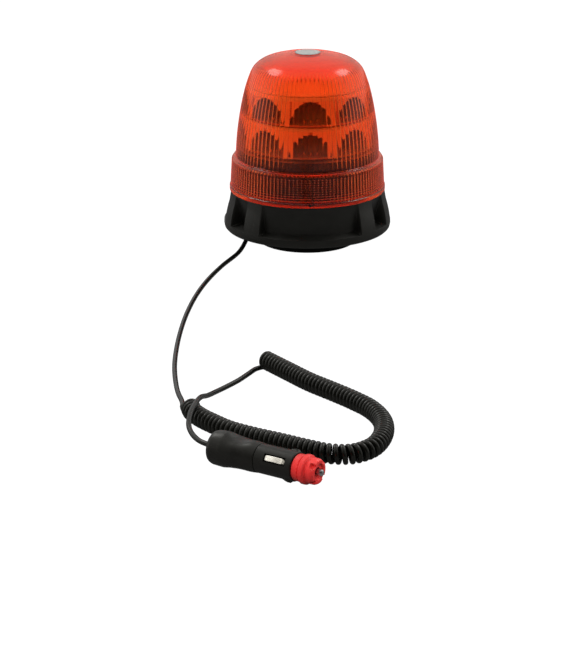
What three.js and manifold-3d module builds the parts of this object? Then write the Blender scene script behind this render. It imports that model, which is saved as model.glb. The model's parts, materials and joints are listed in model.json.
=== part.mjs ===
// LED warning beacon with a magnetic foot, a curly cord and a universal 12/24 V lighter plug.
// Millimetres, +Z up. The origin is the centre of the foot's underside, on the surface it stands on.
// -Y is the side that the plug lies on, and +X is to the right of it.
import * as THREE from "three";
import { mergeVertices } from "three/addons/utils/BufferGeometryUtils.js";
import Module from "manifold-3d";

const wasm = await Module();
wasm.setup();

// ---------------------------------------------------------------- driving dimensions

const GAP = 0.3; // air left between two pieces that touch

// Direction that the middle of one wide recess faces, degrees from +X. The base repeats every third of a turn.
const FACING = -87.7;
const THIRDS = [0, 120, 240].map((turn) => FACING + turn);
const POCKETS = THIRDS.map((angle) => angle + 60);

const FOOT_RADIUS = 45.6;
const FOOT_HEIGHT = 12.9;
const RIM_RADIUS = 75.4;
const RIM_BOTTOM = 13;
const RIM_LEDGE = 21; // outer edge of the ledge that closes the recesses from below
const BASE_TOP = 48.4;
const BASE_TOP_RADIUS = 69.9;
const CAVITY_RADIUS = 56;
const DECK_UNDERSIDE = 44;

const PLATE_RADIUS = 61.5;
const PLATE_BOTTOM = 13.2;
const PLATE_TOP = 16.3;

const LENS_WALL = 2.6;
const LENS_BOTTOM = BASE_TOP + GAP;
const COLLAR_RADIUS = 69.5; // at its foot
const COLLAR_TOP_RADIUS = 68.2;
const STEP_HEIGHT = 79.2; // ledge between the collar and the dome
const CROWN_HEIGHT = 172.5;
const LABEL_RADIUS = 12;

const DRUM_RADIUS = 54;
const DRUM_RIM_RADIUS = 60;
const DRUM_TOP = 87;
const DRUM_SCREW_RING = 51.9;
const CORE_RADIUS = 12.9;
const BOARD_THICKNESS = 1.6;
const REFLECTOR_RADIUS = 53;
const TIER_FLOORS = [DRUM_TOP + GAP, 116.6]; // undersides of the two LED boards
const TIER_CEILINGS = [116.3, 143.2]; // tops of the two reflectors
const BOWLS = 8; // reflector bowls, and LEDs, in each tier
const LED_RING = 38;

const CORD_DIAMETER = 3.9;
const CURL_DIAMETER = 15;

const PLUG_ORIGIN = [-69, -538.3, 12.8]; // where the plug's own X is zero, on its axis
const PLUG_HEADING = -33; // degrees from +X
const CONTACT_TILT = 31; // side contacts lean this far up from level
const GRIP_REAR = 0.8;
const GRIP_END = 40;
const BARREL_RADIUS = 10.45;
const BARREL_END = 70;
const NOSE_RADIUS = 6;
const NOSE_END = 83;
const SLEEVE_END = 87.5;
const PIN_SEAT = 75; // the pin's collar stops against this face
const PIN_TIP = 91;

// ---------------------------------------------------------------- materials

function paint(color, roughness, metalness = 0, more = {}) {
  return new THREE.MeshStandardMaterial({ color, roughness, metalness, ...more });
}

const AMBER = paint(0xe0431c, 0.15, 0, { transparent: true, opacity: 0.55 });
const LABEL_FILM = paint(0xc4cac6, 0.45);
const BLACK_PLASTIC = paint(0x1b1b1a, 0.55);
const RUBBER = paint(0x0c0c0b, 0.8);
const CORD_JACKET = paint(0x141413, 0.5);
const STEEL = paint(0xb4b6b8, 0.35, 1);
const FERRITE = paint(0x2b2b2d, 0.7, 0.3);
const BLACK_ALUMINIUM = paint(0x1f1f20, 0.5, 0.6);
const ALUMINIUM = paint(0xc9cacb, 0.4, 1);
const MIRROR_COAT = paint(0xe6e6e4, 0.1, 1);
const BOARD = paint(0x17251b, 0.6);
const LED_BODY = paint(0xf0d9a0, 0.4);
const NICKEL = paint(0xd0c8b4, 0.25, 1);
const RED_PLASTIC = paint(0xd02f2d, 0.4);
const GLASS = paint(0xdfe6e6, 0.1);
const GREEN_PLASTIC = paint(0x2f7a3a, 0.5);

// ---------------------------------------------------------------- solids

// A closed mesh becomes a manifold-3d solid, whichever way its faces point.
function toSolid(geometry) {
  const bare = geometry.clone();
  bare.deleteAttribute("normal");
  bare.deleteAttribute("uv");
  const merged = mergeVertices(bare, 1e-4);
  const triVerts = new Uint32Array(merged.index.array);
  const vertProperties = merged.attributes.position.array;
  const solid = new wasm.Manifold(new wasm.Mesh({ numProp: 3, vertProperties, triVerts }));
  if (solid.volume() > 0) return solid;
  for (let i = 0; i < triVerts.length; i += 3) {
    [triVerts[i + 1], triVerts[i + 2]] = [triVerts[i + 2], triVerts[i + 1]];
  }
  return new wasm.Manifold(new wasm.Mesh({ numProp: 3, vertProperties, triVerts }));
}

function toGeometry(solid) {
  const mesh = solid.getMesh();
  const geometry = new THREE.BufferGeometry();
  geometry.setAttribute("position", new THREE.BufferAttribute(mesh.vertProperties, 3));
  geometry.setIndex(new THREE.BufferAttribute(mesh.triVerts, 1));
  geometry.computeVertexNormals();
  return geometry;
}

const cut = (body, cutters) => cutters.reduce((left, cutter) => left.subtract(cutter), body);
const join = (pieces) => pieces.reduce((sum, piece) => sum.add(piece));

// A solid turned about Z from an outline of [radius, height] points.
// An outline that leaves the axis closes on itself; one that starts on the axis ends on it.
function turned(outline, segments = 32) {
  const points = outline.map(([radius, height]) => new THREE.Vector2(radius, height));
  if (outline[0][0] > 0) points.push(points[0].clone());
  return toSolid(new THREE.LatheGeometry(points, segments).rotateX(Math.PI / 2));
}

// The same, turned about X from [distance, radius] points.
function turnedAlongX(outline, segments = 24) {
  const swapped = outline.map(([distance, radius]) => [radius, distance]);
  return turned(swapped, segments).rotate([0, 90, 0]);
}

function disc(radius, bottom, top, segments = 20) {
  const geometry = new THREE.CylinderGeometry(radius, radius, top - bottom, segments);
  return toSolid(geometry.rotateX(Math.PI / 2).translate(0, 0, (bottom + top) / 2));
}

function block(width, depth, height) {
  return toSolid(new THREE.BoxGeometry(width, depth, height));
}

function ball(radius, segments = 16) {
  return toSolid(new THREE.SphereGeometry(radius, segments, segments / 2));
}

// A round bar of one diameter along a smooth curve.
function bar(curve, diameter, sides, steps) {
  const section = new THREE.Shape();
  section.absarc(0, 0, diameter / 2, 0, 2 * Math.PI);
  const round = new THREE.Shape(section.getSpacedPoints(sides).slice(0, sides));
  return toSolid(new THREE.ExtrudeGeometry(round, { steps, extrudePath: curve }));
}

function polar(radius, degrees, height = 0) {
  const angle = THREE.MathUtils.degToRad(degrees);
  return [radius * Math.cos(angle), radius * Math.sin(angle), height];
}

// Points of an outline moved inwards by a wall's thickness.
function insideOf(points, wall) {
  return points.map((point, i) => {
    const before = points[Math.max(i - 1, 0)];
    const after = points[Math.min(i + 1, points.length - 1)];
    const along = new THREE.Vector2(after[0] - before[0], after[1] - before[1]).normalize();
    return [Math.max(point[0] - along.y * wall, 0), point[1] + along.x * wall];
  });
}

// ---------------------------------------------------------------- assembly

const beacon = new THREE.Group();

function add(group, name, solid, material) {
  const mesh = new THREE.Mesh(toGeometry(solid), material);
  mesh.name = name;
  group.add(mesh);
  return mesh;
}

// A pan-head screw that points up, with its head's underside at a height.
function screw({ headRadius, headHeight, shankRadius, seat, tip }) {
  return turned(
    [
      [0, seat - headHeight],
      [headRadius * 0.8, seat - headHeight],
      [headRadius, seat - headHeight * 0.5],
      [headRadius, seat],
      [shankRadius, seat],
      [shankRadius, tip],
      [0, tip],
    ],
    8,
  );
}

// ---------------------------------------------------------------- lens

// Dome wall from the step to the crown, [radius, height].
const DOME_OUTLINE = new THREE.SplineCurve(
  [
    [64.6, 80.6],
    [63.5, 97],
    [61.2, 115],
    [57.8, 133],
    [53.6, 148],
    [48.4, 159.5],
    [41, 165.6],
    [30, 169.4],
    [13, CROWN_HEIGHT],
  ].map(([radius, height]) => new THREE.Vector2(radius, height)),
)
  .getPoints(7)
  .map((point) => [point.x, point.y]);

const LENS_SCREW_RING = 60.5;
const LENS_BOSS_TOP = 58;

function lensDome() {
  const flangeTop = LENS_BOTTOM + 4;
  const outside = [
    [70.2, LENS_BOTTOM],
    [70.2, flangeTop - 0.6],
    [COLLAR_RADIUS, flangeTop],
    [COLLAR_TOP_RADIUS, STEP_HEIGHT - 2.6],
    [COLLAR_TOP_RADIUS - 1.3, STEP_HEIGHT - 0.5],
    [65.6, STEP_HEIGHT],
  ];
  const inside = [
    ...insideOf(DOME_OUTLINE, LENS_WALL).reverse(),
    [COLLAR_TOP_RADIUS - 4.2, STEP_HEIGHT - LENS_WALL],
    [COLLAR_TOP_RADIUS - LENS_WALL, STEP_HEIGHT - 4],
    [COLLAR_RADIUS - LENS_WALL, LENS_BOTTOM + 2.6],
    [57, LENS_BOTTOM + 2.6],
    [57, LENS_BOTTOM],
  ];
  const crownInside = [0, CROWN_HEIGHT - LENS_WALL];
  const crownOutside = [0, CROWN_HEIGHT];
  const shell = turned([crownInside, ...inside, ...outside, ...DOME_OUTLINE, crownOutside], 40);
  const bosses = THIRDS.map((angle) =>
    disc(3.4, LENS_BOTTOM, LENS_BOSS_TOP, 12).translate(polar(LENS_SCREW_RING, angle)),
  );
  const holes = THIRDS.map((angle) =>
    disc(1.9, LENS_BOTTOM - 1, LENS_BOSS_TOP - 2, 10).translate(polar(LENS_SCREW_RING, angle)),
  );
  return cut(join([shell, ...bosses]), holes);
}

add(beacon, "lens_dome", lensDome(), AMBER);
add(beacon, "top_label", disc(LABEL_RADIUS, CROWN_HEIGHT + GAP, CROWN_HEIGHT + 0.9, 32), LABEL_FILM);

// ---------------------------------------------------------------- base housing

const GASKET = { inner: 65, outer: 67.6, bottom: 46.6 };
const PLATE_SCREW_RING = 58.6;

// A pie-slice prism about the axis, wide enough to reach past the rim.
function sector(facing, halfAngle) {
  const reach = 2 * RIM_RADIUS;
  const slice = new THREE.Shape();
  slice.moveTo(0, 0);
  [-1, 0, 1].forEach((side) => {
    const [x, y] = polar(reach, facing + side * halfAngle);
    slice.lineTo(x, y);
  });
  slice.closePath();
  return toSolid(new THREE.ExtrudeGeometry(slice, { depth: BASE_TOP, bevelEnabled: false }));
}

// One third of the skirt's outside has a wide shallow recess, and a narrow deep pocket between two ribs.
// A recess's floor slopes from the skirt's top down to the ledge that closes it from below.
function recess(facing, halfAngle, floorAtTop, floorAtLedge) {
  const top = BASE_TOP - 0.9;
  const beyond = RIM_RADIUS + 1;
  const ring = turned(
    [
      [floorAtTop, top],
      [floorAtLedge, RIM_LEDGE + 2.5],
      [beyond, RIM_LEDGE - 0.6],
      [beyond, top],
    ],
    48,
  );
  return ring.intersect(sector(facing, halfAngle));
}

function baseHousing() {
  const shell = turned(
    [
      [CAVITY_RADIUS, PLATE_TOP + GAP],
      [PLATE_RADIUS + GAP, PLATE_TOP + GAP],
      [PLATE_RADIUS + GAP, RIM_BOTTOM],
      [73.4, RIM_BOTTOM],
      [74.8, 14.4],
      [RIM_RADIUS, 17],
      [75.3, RIM_LEDGE],
      [74.6, 26.5],
      [73.1, 34],
      [71.2, 41],
      [BASE_TOP_RADIUS, BASE_TOP],
      [GASKET.outer + GAP, BASE_TOP],
      [GASKET.outer + GAP, GASKET.bottom - GAP],
      [GASKET.inner - GAP, GASKET.bottom - GAP],
      [GASKET.inner - GAP, BASE_TOP],
      [50, BASE_TOP],
      [50, DECK_UNDERSIDE],
      [CAVITY_RADIUS, DECK_UNDERSIDE],
    ],
    48,
  );
  const wide = THIRDS.map((angle) => recess(angle, 37, 69.2, 67.4));
  const narrow = POCKETS.map((angle) => recess(angle, 8, 69.3, 63.6));
  const rimHollow = turned([
    [64.5, RIM_BOTTOM - 1],
    [72.6, RIM_BOTTOM - 1],
    [72.6, 18],
    [64.5, 18],
  ]);
  const tunnels = THIRDS.flatMap((angle) => [
    disc(3.7, PLATE_TOP - 2, DECK_UNDERSIDE, 12).translate(polar(LENS_SCREW_RING, angle)),
    disc(2, DECK_UNDERSIDE - 2, BASE_TOP + 1, 10).translate(polar(LENS_SCREW_RING, angle)),
  ]);
  const pilots = POCKETS.map((angle) =>
    disc(1.9, PLATE_TOP - 1, 27, 10).translate(polar(PLATE_SCREW_RING, angle)),
  );
  const drumHoles = POCKETS.map((angle) =>
    disc(1.4, DECK_UNDERSIDE - 2, BASE_TOP + 1, 10).translate(polar(DRUM_SCREW_RING, angle)),
  );
  return cut(shell, [...wide, ...narrow, rimHollow, ...tunnels, ...pilots, ...drumHoles]);
}

add(beacon, "base_housing", baseHousing(), BLACK_PLASTIC);

const gasketTop = BASE_TOP - 0.1;
const gasket = turned([
  [GASKET.inner, GASKET.bottom],
  [GASKET.outer, GASKET.bottom],
  [GASKET.outer, gasketTop],
  [GASKET.inner, gasketTop],
]);
add(beacon, "lens_gasket", gasket, RUBBER);

THIRDS.forEach((angle, i) => {
  const seat = DECK_UNDERSIDE - GAP;
  const solid = screw({ headRadius: 3.2, headHeight: 2.4, shankRadius: 1.6, seat, tip: 55 });
  add(beacon, `lens_screw_${i + 1}`, solid.translate(polar(LENS_SCREW_RING, angle)), STEEL);
});

// ---------------------------------------------------------------- base plate and magnetic foot

const GLAND = { at: [-52.5, 12], nozzleHeight: 6.2 };
const BOARD_POSTS = { ring: 38, top: 29.6 };
const BOLT_RADIUS = 4;

function basePlate() {
  const plate = disc(PLATE_RADIUS, PLATE_BOTTOM, PLATE_TOP, 40);
  const posts = POCKETS.map((angle) =>
    disc(3, PLATE_BOTTOM, BOARD_POSTS.top, 10).translate(polar(BOARD_POSTS.ring, angle)),
  );
  const screwHoles = POCKETS.map((angle) =>
    disc(2, PLATE_BOTTOM - 1, PLATE_TOP + 1, 10).translate(polar(PLATE_SCREW_RING, angle)),
  );
  const boltHole = disc(BOLT_RADIUS + GAP, PLATE_BOTTOM - 1, PLATE_TOP + 1, 16);
  const cordHole = disc(2.3, PLATE_BOTTOM - 1, PLATE_TOP + 1, 10).translate([...GLAND.at, 0]);
  return cut(join([plate, ...posts]), [...screwHoles, boltHole, cordHole]);
}

add(beacon, "base_plate", basePlate(), BLACK_ALUMINIUM);

POCKETS.forEach((angle, i) => {
  const seat = PLATE_BOTTOM - GAP;
  const solid = screw({ headRadius: 3.3, headHeight: 2.2, shankRadius: 1.6, seat, tip: 25.5 });
  add(beacon, `base_screw_${i + 1}`, solid.translate(polar(PLATE_SCREW_RING, angle)), STEEL);
});

const boot = turned([
  [0, 0],
  [FOOT_RADIUS - 2, 0],
  [FOOT_RADIUS - 0.6, 0.6],
  [FOOT_RADIUS, 2],
  [FOOT_RADIUS, FOOT_HEIGHT - 1.4],
  [FOOT_RADIUS - 1.2, FOOT_HEIGHT],
  [40.3, FOOT_HEIGHT],
  [40.3, 1.5],
  [0, 1.5],
]);
add(beacon, "rubber_boot", boot, RUBBER);

const POT_TOP = 11.5;
const pot = turned([
  [37.5, 1.8],
  [40, 1.8],
  [40, POT_TOP],
  [BOLT_RADIUS + GAP, POT_TOP],
  [BOLT_RADIUS + GAP, 9],
  [37.5, 9],
]);
add(beacon, "magnet_pot", pot, STEEL);

const magnetRing = turned([
  [12, 1.8],
  [36, 1.8],
  [36, 8.7],
  [12, 8.7],
]);
add(beacon, "magnet_ring", magnetRing, FERRITE);

const magnetBolt = join([disc(7.2, 3.6, 8.7, 6), disc(BOLT_RADIUS, 8, 25, 16)]);
add(beacon, "magnet_bolt", magnetBolt, STEEL);

const spacer = cut(disc(9, POT_TOP + GAP, PLATE_BOTTOM - GAP), [disc(BOLT_RADIUS + GAP, 10, 15, 16)]);
add(beacon, "magnet_spacer", spacer, STEEL);

const nut = cut(disc(7.2, PLATE_TOP + GAP, 23, 6), [disc(BOLT_RADIUS + GAP, 15, 24, 16)]);
add(beacon, "magnet_nut", nut, STEEL);

// ---------------------------------------------------------------- driver electronics in the base

const DRIVER_BOTTOM = BOARD_POSTS.top + GAP;
const DRIVER_TOP = DRIVER_BOTTOM + BOARD_THICKNESS;
const onDriver = DRIVER_TOP + GAP;
add(beacon, "driver_board", disc(44, DRIVER_BOTTOM, DRIVER_TOP, 32), BOARD);
const terminals = block(9, 15, 9).translate([-27, 10, onDriver + 4.5]);
add(beacon, "terminal_block", terminals, GREEN_PLASTIC);

// ---------------------------------------------------------------- heat-sink drum and LED tower

function heatSinkDrum() {
  const foot = BASE_TOP + GAP;
  const shell = turned([
    [49.8 + GAP, foot],
    [DRUM_RADIUS, foot],
    [DRUM_RADIUS, 76.5],
    [DRUM_RIM_RADIUS, 78.2],
    [DRUM_RIM_RADIUS, DRUM_TOP],
    [2.6, DRUM_TOP],
    [2.6, DRUM_TOP - 4],
    [49.8 + GAP, DRUM_TOP - 4],
  ]);
  const pilots = POCKETS.map((angle) =>
    disc(1.4, foot - 1, foot + 9, 10).translate(polar(DRUM_SCREW_RING, angle)),
  );
  return cut(shell, pilots);
}

add(beacon, "heat_sink_drum", heatSinkDrum(), BLACK_ALUMINIUM);

POCKETS.forEach((angle, i) => {
  const seat = DECK_UNDERSIDE - GAP;
  const solid = screw({ headRadius: 2.3, headHeight: 1.8, shankRadius: 1.1, seat, tip: 56.5 });
  add(beacon, `drum_screw_${i + 1}`, solid.translate(polar(DRUM_SCREW_RING, angle)), STEEL);
});

const CORE_TOP = TIER_CEILINGS[1];
const CORE_SCREW_RADIUS = 2;
const core = cut(disc(CORE_RADIUS, DRUM_TOP + GAP, CORE_TOP, 24), [
  disc(CORE_SCREW_RADIUS + GAP, DRUM_TOP - 1, CORE_TOP + 1, 12),
]);
add(beacon, "heat_sink_core", core, ALUMINIUM);

const TIER_NAMES = ["lower", "upper"];
const bowlAngles = Array.from({ length: BOWLS }, (_, i) => FACING + (360 / BOWLS) * i);

// A ring with half-bowls cut into its side. Each bowl stands on the LED board and opens outwards.
function reflector(floor, ceiling) {
  const ring = turned([
    [CORE_RADIUS + GAP, floor],
    [REFLECTOR_RADIUS - 0.6, floor],
    [REFLECTOR_RADIUS, ceiling - 3],
    [REFLECTOR_RADIUS - 1.6, ceiling],
    [CORE_RADIUS + GAP, ceiling],
  ]);
  const bowls = bowlAngles.map((angle) =>
    ball(1, 14)
      .scale([24, 17, 22])
      .rotate([0, 0, angle])
      .translate(polar(REFLECTOR_RADIUS, angle, floor)),
  );
  return cut(ring, bowls);
}

TIER_FLOORS.forEach((floor, tier) => {
  const name = TIER_NAMES[tier];
  const boardTop = floor + BOARD_THICKNESS;
  const board = cut(disc(REFLECTOR_RADIUS + 0.3, floor, boardTop, 40), [
    disc(CORE_RADIUS + GAP, floor - 1, boardTop + 1, 24),
  ]);
  add(beacon, `led_board_${name}`, board, BOARD);
  add(beacon, `reflector_${name}`, reflector(boardTop + GAP, TIER_CEILINGS[tier]), MIRROR_COAT);
  bowlAngles.forEach((angle, i) => {
    const led = block(5, 5, 1.8).rotate([0, 0, angle]);
    const place = polar(LED_RING, angle, boardTop + GAP + 0.9);
    add(beacon, `led_${name}_${i + 1}`, led.translate(place), LED_BODY);
  });
});

const CAP_BOTTOM = CORE_TOP + GAP;
const cap = turned([
  [CORE_SCREW_RADIUS + GAP, CAP_BOTTOM],
  [50, CAP_BOTTOM],
  [50, CAP_BOTTOM + 1.2],
  [46, CAP_BOTTOM + 2.6],
  [CORE_SCREW_RADIUS + GAP, CAP_BOTTOM + 3.4],
]);
add(beacon, "reflector_cap", cap, MIRROR_COAT);

const coreScrew = screw({
  headRadius: 4,
  headHeight: 2.8,
  shankRadius: CORE_SCREW_RADIUS,
  seat: 0,
  tip: 62.5,
})
  .rotate([180, 0, 0])
  .translate([0, 0, CAP_BOTTOM + 3.4 + GAP]);
add(beacon, "core_screw", coreScrew, STEEL);

// ---------------------------------------------------------------- cord

// The gland is an elbow under the base plate. Its tapered nozzle points along the cord's first stretch.
const NOZZLE = { length: 16, heading: -94 };

function cableGland() {
  const [x, y] = GLAND.at;
  const elbow = disc(4.6, 2.4, PLATE_BOTTOM - GAP, 16).translate([x, y, 0]);
  const nozzle = turnedAlongX(
    [
      [0, 0],
      [0, 3.6],
      [4, 3.6],
      [NOZZLE.length, 2.7],
      [NOZZLE.length, 0],
    ],
    16,
  )
    .rotate([0, 0, NOZZLE.heading])
    .translate([x, y, GLAND.nozzleHeight]);
  return join([elbow, nozzle]);
}

add(beacon, "cable_gland", cableGland(), RUBBER);

function route(points) {
  return new THREE.CatmullRomCurve3(
    points.map((point) => new THREE.Vector3(...point)),
    false,
    "centripetal",
  );
}

const nozzleTip = polar(NOZZLE.length + GAP, NOZZLE.heading);
const LEAD_START = [GLAND.at[0] + nozzleTip[0], GLAND.at[1] + nozzleTip[1], GLAND.nozzleHeight];

// From the nozzle's tip across the floor to the side of the curl's first turn.
const LEAD_ROUTE = [
  LEAD_START,
  [-54.3, -12, 5.3],
  [-57, -28, 3.2],
  [-61.8, -50, 2.1],
  [-75, -88, 2.1],
  [-86, -127, 2.1],
  [-94.3, -168, 2.1],
  [-100.8, -219, 2.1],
  [-104.2, -268, 2.1],
  [-105.4, -312, 2.1],
  [-104.8, -350, 2.6],
  [-101.9, -390, 4.2],
  [-98.9, -416, 6],
  [-95.6, -434, 7.2],
  [-94.4, -444.6, 7.7],
];

// Centre line of the curly stretch, tight as it lies, from the beacon's end to the plug's end.
const CURL_ROUTE = [
  [-89.2, -445.6, 7.7],
  [-86.6, -458, 7.7],
  [-80.2, -470, 7.7],
  [-71, -482, 7.7],
  [-58.5, -496, 7.7],
  [-41, -508.5, 7.7],
  [-22.5, -519.5, 7.7],
  [-4.3, -531, 7.7],
  [12, -539.5, 7.7],
  [27, -540.5, 7.7],
  [41, -530, 7.7],
  [50, -508, 7.7],
  [51.6, -480, 7.7],
  [44, -454, 7.7],
  [30.8, -434, 7.7],
  [15.8, -415.5, 7.7],
  [-0.7, -396, 7.7],
  [-16.6, -373, 7.7],
  [-32.9, -349.2, 7.7],
];

// From the curl's far end, over its near end in a low hump, to the rear of the plug.
const TAIL_ROUTE = [
  [-34.7, -346.6, 2.1],
  [-41.6, -351.6, 2.1],
  [-47.3, -362.5, 2.1],
  [-54.3, -376.4, 2.1],
  [-62.8, -390.5, 2.3],
  [-71.1, -406.2, 3.7],
  [-76.6, -425.5, 8],
  [-81, -449, 15.4],
  [-84.2, -468, 17.8],
  [-86.5, -483, 17.5],
  [-87.7, -496, 15.8],
  [-87.2, -505.5, 14.1],
  [-85.3, -513.2, 13],
  [-81.8, -523, 12.8],
  [-77.5, -530.4, 12.8],
];

function stepsAlong(curve, diameter) {
  return Math.round(curve.getLength() / (2.6 * diameter));
}

const heading = THREE.MathUtils.degToRad(PLUG_HEADING);
const plugForward = new THREE.Vector3(Math.cos(heading), Math.sin(heading), 0);
const tailEnd = new THREE.Vector3(...PLUG_ORIGIN).addScaledVector(plugForward, GRIP_REAR - 0.5);

const lead = route(LEAD_ROUTE);
const curl = route(CURL_ROUTE);
const tail = route([...TAIL_ROUTE, tailEnd.toArray()]);
add(beacon, "cord_lead", bar(lead, CORD_DIAMETER, 8, stepsAlong(lead, CORD_DIAMETER)), CORD_JACKET);
add(beacon, "cord_curl", bar(curl, CURL_DIAMETER, 10, 32), CORD_JACKET);
add(beacon, "cord_tail", bar(tail, CORD_DIAMETER, 8, stepsAlong(tail, CORD_DIAMETER)), CORD_JACKET);

// ---------------------------------------------------------------- plug, built along its own +X

const plug = new THREE.Group();
plug.position.set(...PLUG_ORIGIN);
plug.rotation.z = heading;
beacon.add(plug);

const CONTACT = { start: 48.4, end: 64.6, width: 4, inner: 9.2, crest: 11.6 };
const CONTACT_ANGLES = { near: 90 - CONTACT_TILT, far: -90 - CONTACT_TILT };
const LUG_ANGLES = [180 - CONTACT_TILT, -CONTACT_TILT];
const SCREW_PLACE = 35;
const SCREW_ANGLE = 150;

// Angles about the plug's axis are measured from straight up, towards the side away from the beacon.
function aboutAxis(solid, degrees) {
  return solid.rotate([degrees, 0, 0]);
}

function plugGrip() {
  const shell = turnedAlongX([
    [GRIP_REAR, 3.7],
    [GRIP_REAR, 10.2],
    [GRIP_REAR + 1, 11.6],
    [GRIP_REAR + 3.5, 12.4],
    [12, 12.6],
    [22, 12.3],
    [31, 11.4],
    [GRIP_END - 0.2, 10.5],
    [GRIP_END - 0.2, 8.3],
    [6, 8.3],
    [6, 3.7],
  ]);
  const scoops = [0, 180].map((angle) =>
    aboutAxis(ball(1, 14).scale([12, 8, 5]).translate([23, 0, 15.6]), angle),
  );
  const screwHole = join([disc(2.4, 9.3, 14, 12), disc(1.4, 7, 10, 10)]).translate([SCREW_PLACE, 0, 0]);
  return cut(shell, [...scoops, aboutAxis(screwHole, SCREW_ANGLE)]);
}

// A ramp that locks the barrel in a socket: it rises towards the plug's front, then drops.
function lockingLug(angle) {
  const side = new THREE.Shape();
  side.moveTo(61, BARREL_RADIUS - 1.5);
  side.lineTo(61, BARREL_RADIUS - 0.3);
  side.lineTo(66, BARREL_RADIUS + 1.4);
  side.lineTo(67.5, BARREL_RADIUS + 1.4);
  side.lineTo(69, BARREL_RADIUS - 0.3);
  side.lineTo(69, BARREL_RADIUS - 1.5);
  side.closePath();
  const depth = 3.6;
  const geometry = new THREE.ExtrudeGeometry(side, { depth, bevelEnabled: false });
  return aboutAxis(toSolid(geometry.translate(0, 0, -depth / 2).rotateX(Math.PI / 2)), angle);
}

function plugBarrel() {
  const shell = turnedAlongX([
    [30, 4.3],
    [30, 8],
    [GRIP_END + 0.1, 8],
    [GRIP_END + 0.1, BARREL_RADIUS],
    [BARREL_END - 0.6, BARREL_RADIUS],
    [BARREL_END, BARREL_RADIUS - 0.6],
    [BARREL_END, NOSE_RADIUS],
    [NOSE_END - 0.8, NOSE_RADIUS],
    [NOSE_END, NOSE_RADIUS - 0.8],
    [NOSE_END, 2.7],
    [PIN_SEAT, 2.7],
    [PIN_SEAT, 4.3],
  ]);
  const length = CONTACT.end - CONTACT.start + 1;
  const middle = (CONTACT.end + CONTACT.start) / 2;
  const slots = Object.values(CONTACT_ANGLES).map((angle) =>
    aboutAxis(block(length, CONTACT.width + 0.8, 6).translate([middle, 0, 10.3]), angle),
  );
  const screwPilot = aboutAxis(disc(1.4, 5.6, 9, 10).translate([SCREW_PLACE, 0, 0]), SCREW_ANGLE);
  return cut(join([shell, ...LUG_ANGLES.map(lockingLug)]), [...slots, screwPilot]);
}

// A bowed spring strip whose middle stands proud of the barrel.
function sideContact(angle) {
  const { start, end, inner, crest, width } = CONTACT;
  const side = new THREE.Shape();
  side.moveTo(start, inner);
  side.lineTo(start, inner + 0.9);
  side.quadraticCurveTo((start + end) / 2 - 2, crest + 1.2, end, inner + 1.2);
  side.lineTo(end, inner);
  side.closePath();
  const geometry = new THREE.ExtrudeGeometry(side, { depth: width, bevelEnabled: false, curveSegments: 8 });
  return aboutAxis(toSolid(geometry.translate(0, 0, -width / 2).rotateX(Math.PI / 2)), angle);
}

function adapterSleeve() {
  const rear = BARREL_END + GAP;
  const bore = NOSE_RADIUS + 0.4;
  const shell = turnedAlongX([
    [rear, bore],
    [rear, 9.2],
    [rear + 0.6, 9.6],
    [75.2, 9.6],
    [75.8, 8.9],
    [76.2, 10.2],
    [80, 10.2],
    [80.6, 9.1],
    [SLEEVE_END - 0.7, 9.1],
    [SLEEVE_END, 8.4],
    [SLEEVE_END, 3.3],
    [NOSE_END + 0.6, 3.3],
    [NOSE_END + 0.6, bore],
  ]);
  const notches = [45, 135, 225, 315].map((angle) =>
    aboutAxis(block(3.2, 2.2, 4).translate([SLEEVE_END - 1, 0, 8.2]), angle),
  );
  return cut(shell, notches);
}

function centrePin() {
  return turnedAlongX(
    [
      [60, 0],
      [60, 1.6],
      [PIN_SEAT - 2.5, 1.6],
      [PIN_SEAT - 2.5, 3.9],
      [PIN_SEAT - 0.4, 3.9],
      [PIN_SEAT - 0.4, 2.4],
      [PIN_TIP - 1.6, 2.4],
      [PIN_TIP - 0.5, 1.8],
      [PIN_TIP, 0.9],
      [PIN_TIP, 0],
    ],
    20,
  );
}

function fuseSpring() {
  const turns = 6;
  const start = 56.6;
  const end = 68.6;
  const steps = turns * 8;
  const points = Array.from({ length: steps + 1 }, (_, i) => {
    const turn = (i / 8) * 2 * Math.PI;
    return [start + ((end - start) * i) / steps, 2.9 * Math.cos(turn), 2.9 * Math.sin(turn)];
  });
  return bar(route(points), 0.8, 4, steps);
}

const fuse = turnedAlongX(
  [
    [25.6, 0],
    [25.6, 3.1],
    [31.6, 3.1],
    [31.6, 2.8],
    [49.6, 2.8],
    [49.6, 3.1],
    [55.6, 3.1],
    [55.6, 0],
  ],
  16,
);

// A bush that holds the cord in the rear of the grip.
const bush = turnedAlongX(
  [
    [GRIP_REAR, 0],
    [GRIP_REAR, 3.4],
    [6.3, 3.4],
    [6.3, 5.5],
    [9, 5.5],
    [9, 0],
  ],
  16,
);

const plugScrewShape = screw({ headRadius: 2.1, headHeight: 1.2, shankRadius: 1.1, seat: -9.6, tip: -6 });
const plugScrew = aboutAxis(plugScrewShape.translate([SCREW_PLACE, 0, 0]), SCREW_ANGLE - 180);

add(plug, "plug_grip", plugGrip(), BLACK_PLASTIC);
add(plug, "plug_barrel", plugBarrel(), BLACK_PLASTIC);
add(plug, "plug_cord_bush", bush, RUBBER);
add(plug, "plug_screw", plugScrew, STEEL);
add(plug, "side_contact_near", sideContact(CONTACT_ANGLES.near), NICKEL);
add(plug, "side_contact_far", sideContact(CONTACT_ANGLES.far), NICKEL);
add(plug, "adapter_sleeve", adapterSleeve(), RED_PLASTIC);
add(plug, "centre_pin", centrePin(), STEEL);
add(plug, "fuse_spring", fuseSpring(), STEEL);
add(plug, "glass_fuse", fuse, GLASS);

export default beacon;
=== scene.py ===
"""The looks of an LED warning beacon with a magnetic foot, a curly cord and a lighter plug.

Shapes are written in millimetres in the beacon's own frame and turned into metres as each mesh is made.
"""

import json
import math

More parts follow.
